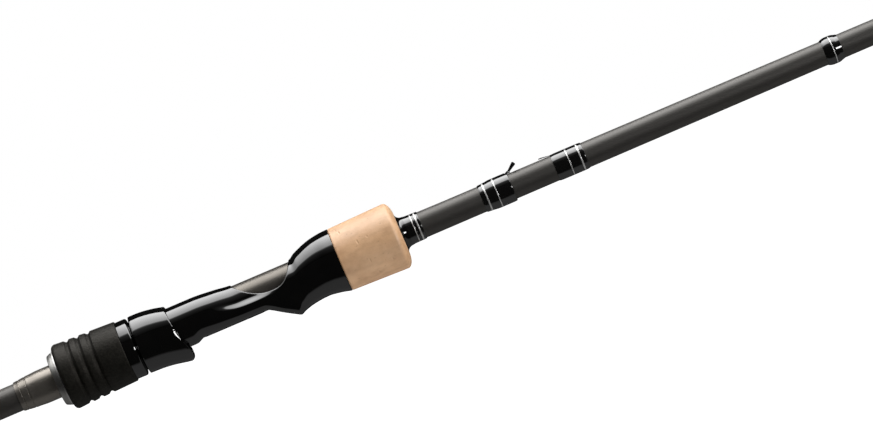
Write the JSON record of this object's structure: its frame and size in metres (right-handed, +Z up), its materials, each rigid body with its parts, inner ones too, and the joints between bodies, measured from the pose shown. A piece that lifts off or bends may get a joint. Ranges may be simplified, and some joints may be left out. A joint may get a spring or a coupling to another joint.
{
  "type": "spinning fishing rod",
  "caption": "Take-apart spinning rod with cork and foam grips, a screw-lock reel seat with a sliding hood, a folding hook keeper and ringed line guides.",
  "frame": {"origin": "centre of the butt cap's flat end face, on the blank's axis", "axes": "+X along the blank from butt to tip, +Z up, away from the reel and the guides, +Y to the left of someone who looks along +X"},
  "size_m": [2.13, 0.0298, 0.0601],
  "materials": {
    "foam": "matte closed-cell foam",
    "gunmetal": "satin gunmetal",
    "cork": "sanded cork",
    "gloss_black": "gloss",
    "black_metal": "semi-gloss black",
    "blank": "satin clear-coated carbon",
    "silver_trim": "bright metallic thread",
    "guide_steel": "polished stainless",
    "ceramic": "polished dark ceramic"
  },
  "bodies": {
    "rod": {"butt_cap": "foam", "butt_ring": "gunmetal", "rear_grip": "cork", "rear_check": "gloss_black", "rear_wrap": "gloss_black", "butt_blank": "blank", "rear_sleeve": "gunmetal", "seat_barrel": "gunmetal", "seat_arbors": "cork", "seat_body": "gloss_black", "window_inlay": "gunmetal", "foregrip": "cork", "front_check": "gloss_black", "grip_wrap": "gloss_black", "keeper_base": "black_metal", "keeper_pin": "silver_trim", "keeper_tab": "black_metal", "keeper_wraps": "gloss_black", "decor_wrap": "gloss_black", "trim_bands": "silver_trim", "ferrule_wrap": "gloss_black", "guide_7_frame": "guide_steel", "guide_7_ring": "ceramic", "guide_7_wraps": "gloss_black"},
    "hood": {"hood_shell": "gloss_black"},
    "nut": {"nut_core": "gloss_black", "nut_ring": "gunmetal", "nut_foam": "foam"},
    "keeper": {"keeper_arm": "black_metal"},
    "tip_section": {"tip_blank": "blank", "guide_6_frame": "guide_steel", "guide_6_ring": "ceramic", "guide_5_frame": "guide_steel", "guide_5_ring": "ceramic", "guide_4_frame": "guide_steel", "guide_4_ring": "ceramic", "guide_3_frame": "guide_steel", "guide_3_ring": "ceramic", "guide_2_frame": "guide_steel", "guide_2_ring": "ceramic", "guide_1_frame": "guide_steel", "guide_1_ring": "ceramic", "tip_guide_wraps": "gloss_black", "tip_top_frame": "guide_steel", "tip_top_ring": "ceramic"}
  },
  "joints": [
    {"name": "hood_slide", "type": "slide", "parent": "rod", "child": "hood", "axis": [1, 0, 0], "range_m": [-0.008, 0.008]},
    {"name": "nut_spin", "type": "hinge", "parent": "hood", "child": "nut", "pos_m": [0.2476, 0, 0], "axis": [1, 0, 0], "range_deg": [-961, 961]},
    {"name": "keeper_fold", "type": "hinge", "parent": "rod", "child": "keeper", "pos_m": [0.4294, 0, 0.00599], "axis": [0, -1, 0], "range_deg": [-29, 54]},
    {"name": "ferrule_slide", "type": "slide", "parent": "rod", "child": "tip_section", "axis": [1, 0, 0], "range_m": [0, 0.09]}
  ],
  "couplings": [
    {"joint": "nut_spin", "follows": "hood_slide", "rad_per_m": 2094.4}
  ]
}
